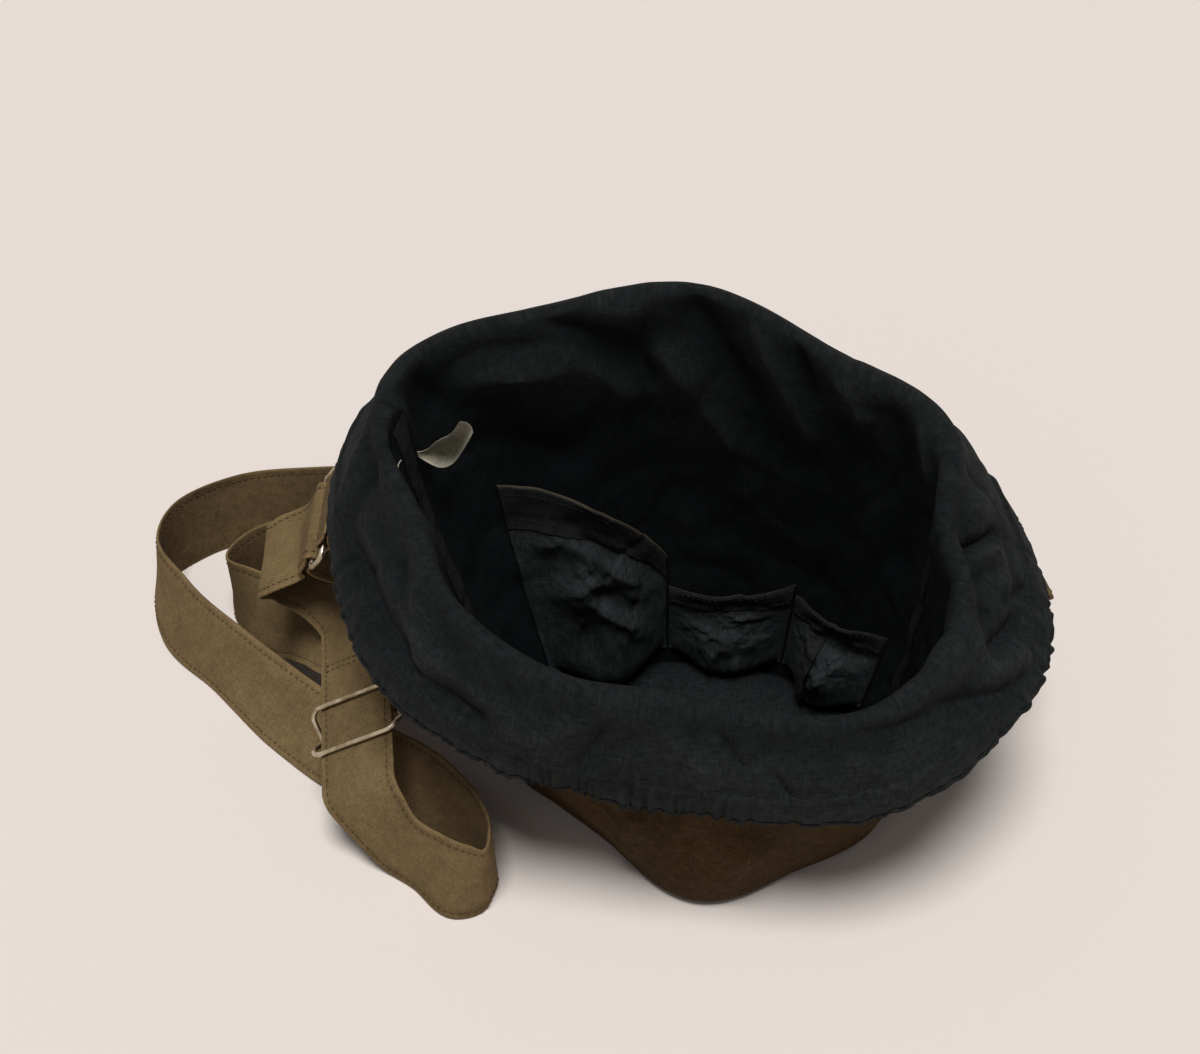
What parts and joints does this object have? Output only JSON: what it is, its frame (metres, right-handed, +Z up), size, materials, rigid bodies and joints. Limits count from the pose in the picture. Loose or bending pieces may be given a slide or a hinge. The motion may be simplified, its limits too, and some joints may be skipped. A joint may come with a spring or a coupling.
{
  "type": "bucket bag",
  "caption": "Slouchy canvas bucket bag with its dark lining turned out as a cuff, inner pockets, and a long adjustable strap with a wire slider.",
  "frame": {"origin": "on the floor, at the middle of the bag's base", "axes": "+X along the bag's length, away from the heap of strap; +Y from the low front lip to the high back; +Z up"},
  "size_m": [0.4382, 0.2553, 0.2153],
  "materials": {
    "canvas": "matt brown cotton canvas",
    "lining": "matt black cotton lining",
    "binding": "matt black cotton tape",
    "elastic": "black knitted elastic",
    "strap_canvas": "matt brown cotton canvas, edge-stitched",
    "woven_label": "matt cream woven tape",
    "old_brass_wire": "dull worn plating"
  },
  "bodies": {
    "bag": {"canvas_front": "canvas", "canvas_back": "canvas", "canvas_base": "canvas", "lining_front": "lining", "lining_back": "lining", "lining_base": "lining", "pocket_left": "lining", "pocket_middle": "lining", "pocket_right": "lining", "hem_binding": "binding", "lining_seam_left": "binding", "lining_seam_right": "binding", "pocket_hem_left": "binding", "pocket_hem_middle": "binding", "pocket_hem_right": "binding", "pocket_pen_loop": "binding", "strap_tab": "strap_canvas", "strap_back_run": "strap_canvas", "strap_back_loop": "strap_canvas", "strap_main_band": "strap_canvas", "strap_front_band": "strap_canvas", "strap_slider_run": "strap_canvas", "strap_ring_run": "strap_canvas", "strap_return_run": "strap_canvas", "hem_elastic": "elastic"},
    "ring": {"strap_ring": "old_brass_wire", "strap_ring_loop": "strap_canvas"},
    "slider": {"slider_frame": "old_brass_wire", "slider_bar": "old_brass_wire", "strap_end_loop": "strap_canvas"},
    "label": {"label": "woven_label"}
  },
  "joints": [
    {"name": "ring_swing", "type": "hinge", "parent": "bag", "child": "ring", "pos_m": [-0.16158, 0.0542, 0.11308], "axis": [0.0888, 0.9353, 0.3426], "range_deg": [0, 20]},
    {"name": "slider_slide", "type": "slide", "parent": "bag", "child": "slider", "axis": [-0.1012, 0.9816, 0.1619], "range_m": [-0.01, 0.01]},
    {"name": "label_flip", "type": "hinge", "parent": "bag", "child": "label", "pos_m": [-0.11743, 0.05264, 0.14887], "axis": [-0.1763, 0.131, 0.9756], "range_deg": [-30, 30]}
  ]
}
